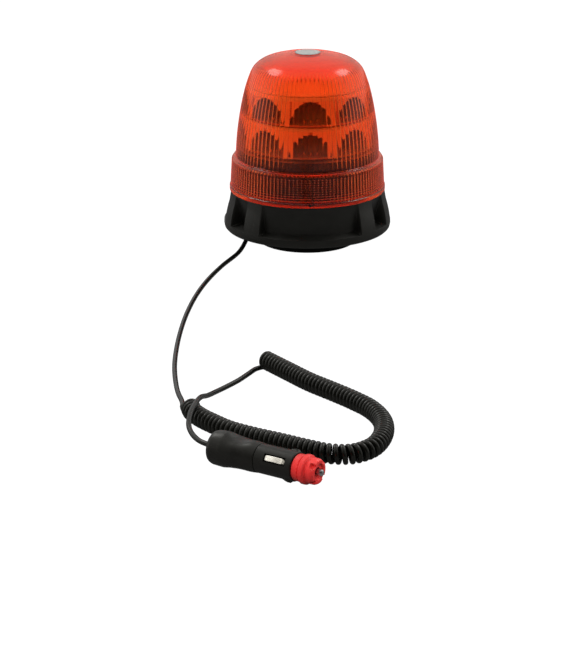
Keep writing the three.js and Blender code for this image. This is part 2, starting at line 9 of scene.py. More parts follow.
import bmesh
import bpy
from mathutils import Matrix, Vector


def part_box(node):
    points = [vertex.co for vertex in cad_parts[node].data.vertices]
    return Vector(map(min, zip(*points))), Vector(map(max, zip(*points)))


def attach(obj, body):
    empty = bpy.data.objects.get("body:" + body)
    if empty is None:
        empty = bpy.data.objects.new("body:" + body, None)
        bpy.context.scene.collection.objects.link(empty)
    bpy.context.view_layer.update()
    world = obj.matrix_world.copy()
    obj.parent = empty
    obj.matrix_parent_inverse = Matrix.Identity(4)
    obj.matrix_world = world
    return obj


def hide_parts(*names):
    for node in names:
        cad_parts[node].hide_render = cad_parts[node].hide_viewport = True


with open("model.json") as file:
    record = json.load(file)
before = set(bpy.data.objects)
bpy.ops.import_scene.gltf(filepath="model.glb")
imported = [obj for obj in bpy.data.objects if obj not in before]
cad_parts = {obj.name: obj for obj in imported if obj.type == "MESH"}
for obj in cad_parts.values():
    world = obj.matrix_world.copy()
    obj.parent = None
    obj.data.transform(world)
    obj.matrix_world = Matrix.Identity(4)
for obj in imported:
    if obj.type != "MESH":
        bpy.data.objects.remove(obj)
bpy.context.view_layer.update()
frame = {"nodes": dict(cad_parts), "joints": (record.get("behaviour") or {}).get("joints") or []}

MM = 0.001
FULL_TURN = 2 * math.pi


# ---------------------------------------------------------------- places taken from the frame


def low(node):
    """A CAD node's lowest height, in millimetres."""
    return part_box(node)[0].z / MM


def high(node):
    """A CAD node's highest height, in millimetres."""
    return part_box(node)[1].z / MM


def radius_of(node):
    """Half a round node's width, in millimetres."""
    corner_low, corner_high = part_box(node)
    return (corner_high.x - corner_low.x) / 2 / MM


joints = {joint["name"]: joint for joint in frame["joints"]}
FACING = -87.7  # the way the middle of one wide recess faces, in degrees from +X
THIRDS = [FACING + turn for turn in (0, 120, 240)]
POCKETS = [angle + 60 for angle in THIRDS]

# ---------------------------------------------------------------- outlines and meshes


def polar(radius, degrees, height=0.0):
    """A point at a distance and a direction from the axis."""
    angle = math.radians(degrees)
    return radius * math.cos(angle), radius * math.sin(angle), height


def rounded(points, steps=5):
    """A closed outline in which a point's third value is the radius of the arc at that corner."""
    made = []
    for i, point in enumerate(points):
        if len(point) < 3:
            made.append(tuple(point))
            continue
        before, corner = Vector(points[i - 1][:2]), Vector(point[:2])
        after = Vector(points[(i + 1) % len(points)][:2])
        back, ahead = before - corner, after - corner
        half = back.angle(ahead) / 2
        reach = min(point[2] / math.tan(half), 0.45 * back.length, 0.45 * ahead.length)
        start, end = corner + back.normalized() * reach, corner + ahead.normalized() * reach
        for k in range(steps + 1):
            t = k / steps
            at = start * (1 - t) ** 2 + corner * 2 * t * (1 - t) + end * t * t
            made.append((at.x, at.y))
    return made


def smooth_line(points, spacing):
    """Points about one spacing apart along a centripetal Catmull-Rom curve through the given ones."""
    points = [Vector(p) for p in points]
    padded = [2 * points[0] - points[1], *points, 2 * points[-1] - points[-2]]
    line = []
    for p0, p1, p2, p3 in zip(padded, padded[1:], padded[2:], padded[3:]):
        t1 = (p1 - p0).length ** 0.5
        t2 = t1 + (p2 - p1).length ** 0.5
        t3 = t2 + (p3 - p2).length ** 0.5
        steps = max(2, round((p2 - p1).length / spacing))
        for k in range(steps):
            t = t1 + (t2 - t1) * k / steps
            a1 = p0 * ((t1 - t) / t1) + p1 * (t / t1)
            a2 = p1 * ((t2 - t) / (t2 - t1)) + p2 * ((t - t1) / (t2 - t1))
            a3 = p2 * ((t3 - t) / (t3 - t2)) + p3 * ((t - t2) / (t3 - t2))
            b1 = a1 * ((t2 - t) / t2) + a2 * (t / t2)
            b2 = a2 * ((t3 - t) / (t3 - t1)) + a3 * ((t - t1) / (t3 - t1))
            line.append(b1 * ((t2 - t) / (t2 - t1)) + b2 * ((t - t1) / (t2 - t1)))
    return [*line, points[-1]]


def ring(radius, height, segments):
    """A level circle, or a single point on the axis."""
    if radius < 1e-6:
        return [(0.0, 0.0, height)]
    return [polar(radius, 360 * k / segments, height) for k in range(segments)]


def skin(rings, closed=False):
    """Vertices and faces of a surface through rings of points. A ring of one point is a tip."""
    vertices, starts, faces = [], [], []
    for points in rings:
        starts.append(len(vertices))
        vertices += points
    pairs = list(zip(range(len(rings)), range(1, len(rings))))
    if closed:
        pairs.append((len(rings) - 1, 0))
    for a, b in pairs:
        round_a, round_b = len(rings[a]) > 1, len(rings[b]) > 1
        count = max(len(rings[a]), len(rings[b]))
        if count == 1:
            continue
        for i in range(count):
            j = (i + 1) % count
            corners = [
                starts[a] + i * round_a,
                starts[a] + j * round_a,
                starts[b] + j * round_b,
                starts[b] + i * round_b,
            ]
            faces.append(tuple(dict.fromkeys(corners)))
    return vertices, faces


def joined(*parts):
    """Several (vertices, faces) as one."""
    vertices, faces = [], []
    for more_vertices, more_faces in parts:
        start = len(vertices)
        vertices += more_vertices
        faces += [tuple(i + start for i in face) for face in more_faces]
    return vertices, faces


def turned(outline, segments=128):
    """A solid turned about Z from an outline of (radius, height), open at the axis or closed on itself."""
    closed = outline[0][0] > 1e-6
    return skin([ring(r, z, segments) for r, z in outline], closed)


def moved(part, matrix):
    """The same faces on vertices moved by a matrix."""
    vertices, faces = part
    return [tuple(matrix @ Vector(v)) for v in vertices], faces


def object_from(name, part):
    """An object from vertices in millimetres and faces, with its normals facing out."""
    vertices, faces = part
    mesh = bpy.data.meshes.new(name)
    mesh.from_pydata([(x * MM, y * MM, z * MM) for x, y, z in vertices], [], faces)
    shell = bmesh.new()
    shell.from_mesh(mesh)
    bmesh.ops.recalc_face_normals(shell, faces=shell.faces)
    shell.to_mesh(mesh)
    shell.free()
    made = bpy.data.objects.new(name, mesh)
    bpy.context.scene.collection.objects.link(made)
    return made


def smooth(made, sharp):
    """Smooth shading, but for edges that turn by more than an angle."""
    made.data.shade_smooth()
    made.data.set_sharp_from_angle(angle=math.radians(sharp))


def piece(name, part, material, nodes=(), body="root", sharp=40):
    """A smooth-shaded mesh in place of CAD nodes, which rides on a body."""
    made = object_from(name, part)
    smooth(made, sharp)
    made.data.materials.append(material)
    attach(made, body)
    if nodes:
        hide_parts(*nodes)
    return made


def lobe(offset, half_width):
    """A smooth hump: 1 at the middle and 0 past half_width."""
    share = abs(offset) / half_width
    return 0.0 if share >= 1 else math.cos(share * math.pi / 2) ** 2


def ramp(value, start, end):
    """Rises smoothly from 0 at start to 1 at end."""
    t = min(1.0, max(0.0, (value - start) / (end - start)))
    return t * t * (3 - 2 * t)


def apart(degrees, other):
    """The angle between two directions, from 0 to 180."""
    return abs((degrees - other + 180) % 360 - 180)


# ---------------------------------------------------------------- materials


class Nodes:
    """A new material's node tree, built around its Principled shader."""

    def __init__(self, name):
        self.material = bpy.data.materials.new(name)
        self.material.use_nodes = True
        self.tree = self.material.node_tree
        self.shader = self.tree.nodes["Principled BSDF"]
        self.place = self.tree.nodes.new("ShaderNodeTexCoord").outputs["Object"]

    def add(self, kind, **values):
        node = self.tree.nodes.new(kind)
        for key, value in values.items():
            if key in node.inputs:
                node.inputs[key].default_value = value
            else:
                setattr(node, key, value)
        return node

    def link(self, source, target):
        self.tree.links.new(source, target)

    def noise(self, scale, detail=3.0, stretch=None):
        """A noise texture's value, from 0 to 1, in features per metre."""
        node = self.add("ShaderNodeTexNoise", Scale=scale, Detail=detail)
        place = self.place
        if stretch:
            mapping = self.add("ShaderNodeMapping", Scale=stretch)
            self.link(place, mapping.inputs["Vector"])
            place = mapping.outputs["Vector"]
        self.link(place, node.inputs["Vector"])
        return node.outputs["Fac"]

    def spread(self, value, start, end, source=(0.3, 0.7)):
        """The value's middle range stretched over start to end."""
        node = self.add("ShaderNodeMapRange")
        numbers = {"From Min": source[0], "From Max": source[1], "To Min": start, "To Max": end}
        for key, number in numbers.items():
            node.inputs[key].default_value = number
        self.link(value, node.inputs["Value"])
        return node.outputs["Result"]

    def mix(self, share, first, second):
        """A colour between two, each a colour or a socket."""
        node = self.add("ShaderNodeMix", data_type="RGBA")
        self.link(share, node.inputs["Factor"])
        for socket, value in ((node.inputs[6], first), (node.inputs[7], second)):
            if isinstance(value, bpy.types.NodeSocket):
                self.link(value, socket)
            else:
                socket.default_value = (*value, 1.0)
        return node.outputs[2]

    def bumps(self, *layers):
        """Bumps on the surface from (value, height in metres) layers."""
        normal = None
        for value, distance in layers:
            node = self.add("ShaderNodeBump", Distance=distance)
            self.link(value, node.inputs["Height"])
            if normal is not None:
                self.link(normal, node.inputs["Normal"])
            normal = node.outputs["Normal"]
        self.link(normal, self.shader.inputs["Normal"])

    def edges(self, start, end):
        """1 on the convex edges of the mesh and 0 elsewhere."""
        geometry = self.add("ShaderNodeNewGeometry")
        return self.spread(geometry.outputs["Pointiness"], 0.0, 1.0, (start, end))


def moulded(name, dark, light, rough, grain=(1800, 0.00003), metallic=0.0, edge=0.35, specular=0.5):
    """Plastic, rubber or painted metal: a mottled colour, uneven gloss, fine grain and worn edges."""
    nodes = Nodes(name)
    colour = nodes.mix(nodes.spread(nodes.noise(55, 5), 0, 1), dark, light)
    worn = tuple(min(1.0, c * 1.9 + 0.006) for c in light)
    wear = nodes.add("ShaderNodeMath", operation="MULTIPLY")
    nodes.link(nodes.edges(0.52, 0.62), wear.inputs[0])
    nodes.link(nodes.spread(nodes.noise(320, 4), 0, edge), wear.inputs[1])
    nodes.link(nodes.mix(wear.outputs["Value"], colour, worn), nodes.shader.inputs["Base Color"])
    nodes.link(nodes.spread(nodes.noise(140, 6), *rough), nodes.shader.inputs["Roughness"])
    nodes.shader.inputs["Metallic"].default_value = metallic
    nodes.shader.inputs["Specular IOR Level"].default_value = specular
    nodes.shader.inputs["Specular Tint"].default_value = (1.0, 0.98, 0.9, 1.0)
    nodes.bumps((nodes.noise(grain[0], 2), grain[1]), (nodes.noise(90, 3), 0.00005))
    return nodes.material


def metal(name, dark, light, rough, brushed=(1, 1, 1), grain=700, depth=0.00001):
    """Bare metal: an uneven tone and fine marks, drawn out across the brushing."""
    nodes = Nodes(name)
    colour = nodes.mix(nodes.spread(nodes.noise(130, 6), 0, 1), dark, light)
    nodes.link(colour, nodes.shader.inputs["Base Color"])
    nodes.link(nodes.spread(nodes.noise(grain, 4, brushed), *rough), nodes.shader.inputs["Roughness"])
    nodes.shader.inputs["Metallic"].default_value = 1.0
    nodes.bumps((nodes.noise(grain, 3, brushed), depth))
    return nodes.material


def clear(name, colour, ior, rough, ripple, glow=None, through=1.0):
    """Clear moulded plastic or glass with a faint ripple from its mould. Light scattered in it
    glows at its edges."""
    nodes = Nodes(name)
    if glow:
        nodes.shader.inputs["Sheen Weight"].default_value = 1.0
        nodes.shader.inputs["Sheen Roughness"].default_value = 0.25
        nodes.shader.inputs["Sheen Tint"].default_value = (*glow, 1.0)
    nodes.shader.inputs["Base Color"].default_value = (*colour, 1.0)
    nodes.shader.inputs["Transmission Weight"].default_value = through
    nodes.shader.inputs["IOR"].default_value = ior
    nodes.shader.inputs["Roughness"].default_value = rough
    nodes.bumps((nodes.noise(70, 2), ripple))
    return nodes.material


AMBER = clear("amber_polycarbonate", (0.93, 0.125, 0.018), 1.49, 0.17, 0.00004, (1.0, 0.08, 0.035))
AMBER_FROSTED = clear("frosted_polycarbonate", (0.8, 0.1, 0.04), 1.49, 0.4, 0.0001, through=0.7)
FUSE_GLASS = clear("fuse_glass", (0.86, 0.9, 0.9), 1.5, 0.02, 0.00001)
SKIRT_PLASTIC = moulded(
    "skirt_plastic", (0.001, 0.001, 0.0007), (0.0022, 0.0022, 0.0017), (0.36, 0.48), specular=0.75
)
RUBBER = moulded(
    "black_rubber", (0.001, 0.001, 0.0008), (0.002, 0.0018, 0.0015), (0.55, 0.75), edge=0.2, specular=0.3
)
JACKET = moulded(
    "cord_jacket", (0.0015, 0.0015, 0.001), (0.003, 0.003, 0.0022), (0.22, 0.32), (2600, 0.00001)
)
PLUG_PLASTIC = moulded("plug_plastic", (0.003, 0.003, 0.0024), (0.006, 0.0056, 0.0048), (0.3, 0.42))
RED_PLASTIC = moulded("red_plastic", (0.52, 0.018, 0.017), (0.66, 0.03, 0.028), (0.28, 0.42), edge=0.2)
BLACK_ALUMINIUM = moulded(
    "black_aluminium", (0.006, 0.006, 0.006), (0.012, 0.012, 0.012), (0.4, 0.55), metallic=0.3
)
MIRROR_COAT = moulded(
    "mirror_coat", (0.74, 0.74, 0.73), (0.84, 0.84, 0.83), (0.3, 0.42), (300, 0.00001), 0.35, edge=0.1
)
# The bowls' coat: the reflector's coat made glossier and more metallic, and given a darker colour than the
# ring's as painted shade in the bowls.
SHADED_BOWL_COAT = moulded(
    "bowl_coat_painted_shade", (0.4, 0.4, 0.39), (0.52, 0.52, 0.51), (0.14, 0.24), (300, 0.00001), 0.65, edge=0.1
)
BLACK_STEEL = metal("black_oxide", (0.02, 0.02, 0.021), (0.045, 0.045, 0.046), (0.35, 0.5))
STEEL = metal("zinc_steel", (0.42, 0.43, 0.44), (0.66, 0.66, 0.66), (0.24, 0.42))
NICKEL = moulded(
    "nickel", (0.72, 0.66, 0.52), (0.92, 0.88, 0.78), (0.16, 0.34), (500, 0.00001), 0.5, edge=0.1
)
ALUMINIUM = metal("bare_aluminium", (0.5, 0.5, 0.51), (0.68, 0.68, 0.69), (0.28, 0.45), (8, 8, 1))
FERRITE = moulded("ferrite", (0.018, 0.018, 0.02), (0.035, 0.035, 0.038), (0.6, 0.8), (1200, 0.0001))
GREEN_PLASTIC = moulded("green_plastic", (0.02, 0.16, 0.04), (0.03, 0.24, 0.06), (0.4, 0.55))
LED_YELLOW = moulded("phosphor", (0.7, 0.42, 0.06), (0.86, 0.58, 0.12), (0.3, 0.4), edge=0.1)
LED_CERAMIC = moulded("led_ceramic", (0.55, 0.55, 0.52), (0.7, 0.7, 0.67), (0.5, 0.65), edge=0.1)


def board_material():
    """Black solder mask with fine copper tracks showing through it."""
    nodes = Nodes("solder_mask")
    cells = nodes.add("ShaderNodeTexVoronoi", Scale=260.0, feature="DISTANCE_TO_EDGE")
    nodes.link(nodes.place, cells.inputs["Vector"])
    track = nodes.spread(cells.outputs["Distance"], 1.0, 0.0, (0.03, 0.09))
    colour = nodes.mix(track, (0.006, 0.009, 0.007), (0.016, 0.024, 0.017))
    nodes.link(colour, nodes.shader.inputs["Base Color"])
    nodes.link(nodes.spread(nodes.noise(200, 4), 0.3, 0.45), nodes.shader.inputs["Roughness"])
    nodes.bumps((track, 0.00003), (nodes.noise(900, 2), 0.00002))
    return nodes.material


def label_material():
    """A pale film with a printed ring near its edge and faint scuffs."""
    nodes = Nodes("label_film")
    split = nodes.add("ShaderNodeSeparateXYZ")
    nodes.link(nodes.place, split.inputs["Vector"])
    across = nodes.add("ShaderNodeCombineXYZ")
    nodes.link(split.outputs["X"], across.inputs["X"])
    nodes.link(split.outputs["Y"], across.inputs["Y"])
    length = nodes.add("ShaderNodeVectorMath", operation="LENGTH")
    nodes.link(across.outputs["Vector"], length.inputs[0])
    rim = nodes.spread(length.outputs["Value"], 0, 1, (0.0103, 0.0108))
    film = nodes.mix(nodes.spread(nodes.noise(420, 6), 0, 1), (0.26, 0.265, 0.25), (0.38, 0.385, 0.365))
    nodes.link(nodes.mix(rim, film, (0.17, 0.175, 0.17)), nodes.shader.inputs["Base Color"])
    nodes.link(nodes.spread(nodes.noise(500, 3), 0.35, 0.55), nodes.shader.inputs["Roughness"])
    nodes.bumps((nodes.noise(1500, 2), 0.00001))
    return nodes.material


BOARD = board_material()
LABEL_FILM = label_material()

# ---------------------------------------------------------------- camera

CAMERA_PLACE = (-0.01477, -2.09408, 0.63823)
CAMERA_PITCH = 19.0  # degrees below level
SENSOR_WIDTH = 36.0
FOCAL_SHARE = 2400 / 649  # focal length over the picture's long side

camera_data = bpy.data.cameras.new("studio_camera")
camera_data.sensor_width = SENSOR_WIDTH
camera_data.lens = SENSOR_WIDTH * FOCAL_SHARE
camera_data.clip_end = 20.0
camera = bpy.data.objects.new("studio_camera", camera_data)
camera.location = CAMERA_PLACE
camera.rotation_euler = (math.radians(90 - CAMERA_PITCH), 0, 0)
bpy.context.scene.collection.objects.link(camera)
bpy.context.scene.camera = camera

# ---------------------------------------------------------------- cord

CORD_DIAMETER = 3.9
CURL_HEIGHT = 7.7  # of the curly stretch's centre line
COIL_RADIUS = (15 - CORD_DIAMETER) / 2  # from there to the middle of the wire
TURN_POINTS = 24
TURN_SPACE = 1.015  # distance between turns, in cord diameters
BEND_LIMIT = 0.84  # turns fan out round a bend until their spacing has grown by 1 / this
WIND_UP = (-1.0, 6.0)  # over this stretch the straight lead winds up into turns
INTO_GLAND = 6.0  # the cord runs this far into the gland and into the plug
INTO_PLUG = 4.0

GLAND_PLACE = (-52.5, 12)
NOZZLE_HEIGHT = 6.2
NOZZLE_LENGTH = 16
NOZZLE_HEADING = -94
NOZZLE_GROOVES = 5
NOZZLE_GAP = 0.3  # from the nozzle's mouth to the point where the cord counts as free

# From the gland's tip across the floor to the side of the curl's first turn.
LEAD_ROUTE = [
    (-54.3, -12, 5.3),
    (-57, -28, 3.2),
    (-61.8, -50, 2.1),
    (-75, -88, 2.1),
    (-86, -127, 2.1),
    (-94.3, -168, 2.1),
    (-100.8, -219, 2.1),
    (-104.2, -268, 2.1),
    (-105.4, -312, 2.1),
    (-104.8, -350, 2.6),
    (-101.9, -390, 4.2),
    (-98.9, -416, 6),
    (-95.6, -434, 7.2),
    (-94.4, -444.6, 7.7),
]

# Centre line of the curly stretch.
CURL_ROUTE = [
    (-89.2, -445.6),
    (-86.6, -458),
    (-80.2, -470),
    (-71, -482),
    (-58.5, -496),
    (-41, -508.5),
    (-22.5, -519.5),
    (-4.3, -531),
    (12, -539.5),
    (27, -540.5),
    (41, -530),
    (50, -508),
    (51.6, -480),
    (44, -454),
    (30.8, -434),
    (15.8, -415.5),
    (-0.7, -396),
    (-16.6, -373),
    (-32.9, -349.2),
    (-34.7, -346.6),
]

# From the curl's far end, over its near end in a low hump, to the rear of the plug.
TAIL_ROUTE = [
    (-41.6, -351.6, 2.1),
    (-47.3, -362.5, 2.1),
    (-54.3, -376.4, 2.1),
    (-62.8, -390.5, 2.3),
    (-71.1, -406.2, 3.7),
    (-76.6, -425.5, 8),
    (-81, -449, 15.4),
    (-84.2, -468, 17.8),
    (-86.5, -483, 17.5),
    (-87.7, -496, 15.8),
    (-87.2, -505.5, 14.1),
    (-85.3, -513.2, 13),
    (-81.8, -523, 12.8),
    (-77.5, -530.4, 12.8),
]

PLUG_AXIS = Vector(joints["adapter_pull"]["axis"]).normalized()
PLUG_ORIGIN = Vector((-69, -538.3, 12.8))  # where distances along the plug start
GRIP_REAR = 0.8


def curl_points():
    """The curly stretch: a right-handed helix whose turns lie side by side and open round the bends."""
    spacing = 0.25
    line = smooth_line([(x, y, CURL_HEIGHT) for x, y in CURL_ROUTE], spacing)
    along = [0.0]
    for a, b in zip(line, line[1:]):
        along.append(along[-1] + (b - a).length)
    stretch = 70  # points either way that a bend is measured over
    turns = [0.0]
    for i in range(1, len(line)):
        a, b, c = line[max(i - stretch, 0)], line[i], line[min(i + stretch, len(line) - 1)]
        bend = (b - a).cross(c - b).length
        radius = 1e4
        if bend > 1e-6:
            radius = (b - a).length * (c - b).length * (c - a).length / (2 * bend)
        pitch = CORD_DIAMETER * TURN_SPACE / max(BEND_LIMIT, 1 - COIL_RADIUS / radius)
        winding = ramp(along[i], *WIND_UP)
        turns.append(turns[-1] + (along[i] - along[i - 1]) / pitch * winding)
    # It begins at its outer side and ends underneath, a quarter turn more than a whole number.
    whole = round(turns[-1] - 0.25) + 0.25
    share = whole / turns[-1]
    points, count = [], round(whole * TURN_POINTS)
    i = 0
    for k in range(count + 1):
        wanted = whole * k / count
        while i < len(turns) - 2 and turns[i + 1] * share < wanted:
            i += 1
        part = (wanted - turns[i] * share) / max(1e-9, (turns[i + 1] - turns[i]) * share)
        centre = line[i].lerp(line[i + 1], min(1.0, max(0.0, part)))
        ahead = (line[min(i + stretch, len(line) - 1)] - line[max(i - stretch, 0)]).normalized()
        right = ahead.cross(Vector((0, 0, 1)))
        angle = FULL_TURN * (0.25 + wanted)
        offset = Vector((0, 0, math.cos(angle))) + right * math.sin(angle)
        points.append(centre + offset * COIL_RADIUS)
    return points


def cord_points():
    """Where the cord leaves the gland, and its centre line from inside the gland into the plug."""
    heading = math.radians(NOZZLE_HEADING)
    inside = Vector((math.cos(heading), math.sin(heading), 0))
    tip = Vector((*GLAND_PLACE, NOZZLE_HEIGHT)) + inside * (NOZZLE_LENGTH + NOZZLE_GAP)
    curl = curl_points()
    lead = smooth_line([tip - inside * INTO_GLAND, tip, *LEAD_ROUTE, curl[0]], 3.0)
    tail_end = [PLUG_ORIGIN + PLUG_AXIS * (GRIP_REAR + reach) for reach in (-0.5, INTO_PLUG)]
    tail = smooth_line([curl[-1], *TAIL_ROUTE, *tail_end], 3.0)
    return tip, [*lead[:-1], *curl, *tail[1:]]


cord_exit, line = cord_points()
curve = bpy.data.curves.new("power_cord", "CURVE")
curve.dimensions = "3D"
curve.bevel_depth = CORD_DIAMETER / 2 * MM
curve.bevel_resolution = 4
curve.use_fill_caps = True
spline = curve.splines.new("POLY")
spline.points.add(len(line) - 1)
for point, at in zip(spline.points, line):
    point.co = (*(at * MM), 1.0)
curve.materials.append(JACKET)
cord = bpy.data.objects.new("power_cord", curve)
bpy.context.scene.collection.objects.link(cord)
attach(cord, "root")
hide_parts("cord_lead", "cord_curl", "cord_tail")

# ---------------------------------------------------------------- lens

LENS_BOTTOM = low("lens_dome")
CROWN = high("lens_dome")
WALL = 2.6
STEP = 79.2  # height of the step on top of the collar
FLANGE_TOP = LENS_BOTTOM + 3.9
COLLAR_SHOULDER = 76.6  # where the collar's wall starts to turn inwards
COLLAR_FOOT_RADIUS = 69.5
COLLAR_TOP_RADIUS = 68.2
DOME_FOOT_RADIUS = 64.6
SEAT_RADIUS = 57  # inner edge of the seat ring inside the flange
LENS_SEGMENTS = 720
FLUTES = 90
FLUTE_DEPTH = 0.75
FLUTE_TOP = 161.5  # they fade out at this height
RIBS = 120
RIB_DEPTH = 0.6
LINE_PITCH = 2.1  # between the level grooves inside the collar
LINE_DEPTH = 0.4

DOME_OUTLINE = [
    (DOME_FOOT_RADIUS, STEP + 1.4),
    (63.5, 97),
    (61.2, 115),
    (57.8, 133),
    (53.6, 148),
    (48.4, 159.5),
    (41, 165.6),
    (30, 169.4),
    (13, CROWN),
]


def scallop(angle, count):
    """0 on the crest of each rib and 1 in the sharp valley between two."""
    return 1 - abs(math.cos(count * angle / 2))


def fluted_ring(radius, height, ribs, depth):
    """A level ring that is wider by depth in each valley between its ribs."""
    points = []
    for k in range(LENS_SEGMENTS):
        angle = FULL_TURN * k / LENS_SEGMENTS
        at = radius + depth * scallop(angle, ribs)
        points.append((at * math.cos(angle), at * math.sin(angle), height))
    return points


def lens_shell():
    """The whole lens as one closed wall: smooth outside, fluted and ribbed inside."""
    outside = rounded(
        [
            (60.0, LENS_BOTTOM),
            (70.2, LENS_BOTTOM, 0.4),
            (70.2, FLANGE_TOP - 0.5, 0.4),
            (COLLAR_FOOT_RADIUS, FLANGE_TOP, 0.3),
            (COLLAR_TOP_RADIUS, COLLAR_SHOULDER, 1.2),
            (66.9, STEP - 0.5, 0.8),
            (65.6, STEP, 0.3),
            (DOME_FOOT_RADIUS + 0.15, STEP + 0.2, 0.4),
            (DOME_FOOT_RADIUS, STEP + 1.4),
        ]
    )
    dome = [(p.x, p.y) for p in smooth_line([Vector(p) for p in DOME_OUTLINE], 2.2)]
    normals = []
    for i in range(len(dome)):
        a, b = dome[max(i - 1, 0)], dome[min(i + 1, len(dome) - 1)]
        run = Vector((b[0] - a[0], b[1] - a[1])).normalized()
        normals.append((run.y, -run.x))
    rings = [ring(r, z, LENS_SEGMENTS) for r, z in outside[1:] + dome[1:]]
    rings.append(ring(0, CROWN, LENS_SEGMENTS))
    rings.append(ring(0, CROWN - WALL, LENS_SEGMENTS))
    for (r, z), (nr, nz) in reversed(list(zip(dome, normals))):
        depth = FLUTE_DEPTH * ramp(z - nz * WALL, FLUTE_TOP, FLUTE_TOP - 4)
        if r - nr * WALL > 1:
            rings.append(fluted_ring(r - nr * WALL, z - nz * WALL, FLUTES, depth))
    collar_top, collar_bottom = STEP - 3.4, LENS_BOTTOM + 2.7
    rings.append(ring(63.2, STEP - 2.4, LENS_SEGMENTS))
    rows = round((collar_top - collar_bottom) / LINE_PITCH * 6)
    for k in range(rows + 1):
        height = collar_top + (collar_bottom - collar_top) * k / rows
        level = 1 - abs(math.cos(math.pi * (height - collar_bottom) / LINE_PITCH))
        share = (height - FLANGE_TOP) / (COLLAR_SHOULDER - FLANGE_TOP)
        outer = COLLAR_FOOT_RADIUS + (COLLAR_TOP_RADIUS - COLLAR_FOOT_RADIUS) * share
        radius = outer - WALL + LINE_DEPTH * level
        fade = min(1.0, k / 4, (rows - k) / 4)
        rings.append(fluted_ring(radius, height, RIBS, RIB_DEPTH * fade))
    rings.append(ring(SEAT_RADIUS, LENS_BOTTOM + 2.6, LENS_SEGMENTS))
    rings.append(ring(SEAT_RADIUS, LENS_BOTTOM, LENS_SEGMENTS))
    return skin(rings, closed=True)


lens = piece("dome_lens", lens_shell(), AMBER, ["lens_dome"])
lens.visible_shadow = False
lens.data.materials.append(AMBER_FROSTED)
for face in lens.data.polygons:
    place = face.center / MM
    on_seat = LENS_BOTTOM < place.z < LENS_BOTTOM + 2.7 and place.xy.length < 67
    face.material_index = int(on_seat and face.normal.z > 0.5)

LABEL_RADIUS = 11.4
label_bottom, label_top = low("top_label"), high("top_label")
label_outline = rounded(
    [
        (0, label_bottom),
        (LABEL_RADIUS, label_bottom, 0.1),
        (LABEL_RADIUS, label_top - 0.15, 0.15),
        (LABEL_RADIUS * 0.6, label_top - 0.05),
        (0, label_top),
    ]
)
piece("crown_label", turned(label_outline), LABEL_FILM, ["top_label"])

# ---------------------------------------------------------------- base housing and foot

RIM_BOTTOM = low("base_housing")
BASE_TOP = high("base_housing")
RIM_INSIDE = 61.8
LEDGE = 20.4  # height of the ledge that closes the recesses from below, at its outer edge
LEDGE_RADIUS = 75.3
RECESS_HALF_ANGLE = 37.0
POCKET_HALF_ANGLE = 8.0
LEDGE_RISE = 3.0  # the ledge slopes up this far to a recess's floor
WALL_BLEND = 0.55  # degrees over which a recess's side wall rises

SKIRT_OUTLINE = [
    (LEDGE_RADIUS, LEDGE),
    (74.6, 26.5),
    (73.1, 34),
    (71.2, 41),
    (69.9, BASE_TOP),
]


def skirt_points(floor_top, floor_ledge):
    """The skirt's outside above the ledge, full and recessed, as two lists of matching points."""
    heights = [20.9, 21.7, 22.9, 24.4, 27, 30, 33.5, 37, 40.5, 43.5, 46.4, 47.3, 47.8]
    first, last = 3, 10  # the heights between which a recess has its upright floor
    floor_bottom, floor_end = LEDGE + LEDGE_RISE, BASE_TOP - 1
    full_line = smooth_line([Vector(p) for p in SKIRT_OUTLINE], 0.5)
    full, deep = [], []
    for k, z in enumerate(heights):
        full.append(min(full_line, key=lambda p: abs(p.y - z)).copy())
        full[-1].y = z
        floor = floor_ledge + (floor_top - floor_ledge) * (z - floor_bottom) / (floor_end - floor_bottom)
        if k < first:
            share = (k + 0.4) / 2.5
            deep.append(
                Vector((LEDGE_RADIUS + (floor_ledge - LEDGE_RADIUS) * share, LEDGE + LEDGE_RISE * share))
            )
        elif k > last:
            deep.append(Vector((floor + (full[-1].x - floor) * (k - last) / 3, z)))
        else:
            deep.append(Vector((floor, z)))
    return full, deep


def housing_angles():
    """Even steps all round, with fine ones at the recesses' side walls."""
    fine_steps = [k * WALL_BLEND / 4 for k in range(-6, 7)]
    edges = [a + side * RECESS_HALF_ANGLE for a in THIRDS for side in (-1, 1)]
    edges += [a + side * POCKET_HALF_ANGLE for a in POCKETS for side in (-1, 1)]
    angles = {round((edge + step) % 360, 4) for edge in edges for step in fine_steps}
    angles |= {k * 1.5 for k in range(240) if all(apart(k * 1.5, e) > 1.2 for e in edges)}
    return sorted(angles)


def housing():
    """The skirt: three wide recesses and three narrow pockets sunk into a tapered wall."""
    below = rounded(
        [
            (RIM_INSIDE, RIM_BOTTOM),
            (73.4, RIM_BOTTOM, 0.6),
            (74.9, 14.6, 1.2),
            (75.4, 17.2, 2),
            (LEDGE_RADIUS, LEDGE),
        ]
    )
    above = rounded(
        [
            (70.1, 48.1),
            (69.9, BASE_TOP, 0.3),
            (50, BASE_TOP, 0.3),
            (50, 44),
            (56, 44),
            (56, 16.6),
            (RIM_INSIDE, 16.6),
            (RIM_INSIDE, RIM_BOTTOM),
        ]
    )
    full, wide = skirt_points(69.3, 67.2)
    _, narrow = skirt_points(69.3, 63.4)
    angles = housing_angles()

    def share(angle, centres, half_angle):
        offset = min(apart(angle, centre) for centre in centres)
        return ramp(offset, half_angle + WALL_BLEND, half_angle - WALL_BLEND)

    weights = [
        (share(a, THIRDS, RECESS_HALF_ANGLE), share(a, POCKETS, POCKET_HALF_ANGLE)) for a in angles
    ]
    rings = [[polar(r, a, z) for a in angles] for r, z in below[1:]]
    for out, shallow, deep in zip(full, wide, narrow):
        points = []
        for angle, (in_recess, in_pocket) in zip(angles, weights):
            at = out.lerp(shallow, in_recess).lerp(deep, in_pocket)
            points.append(polar(at.x, angle, at.y))
        rings.append(points)
    rings += [[polar(r, a, z) for a in angles] for r, z in above[1:]]
    return skin(rings, closed=True)


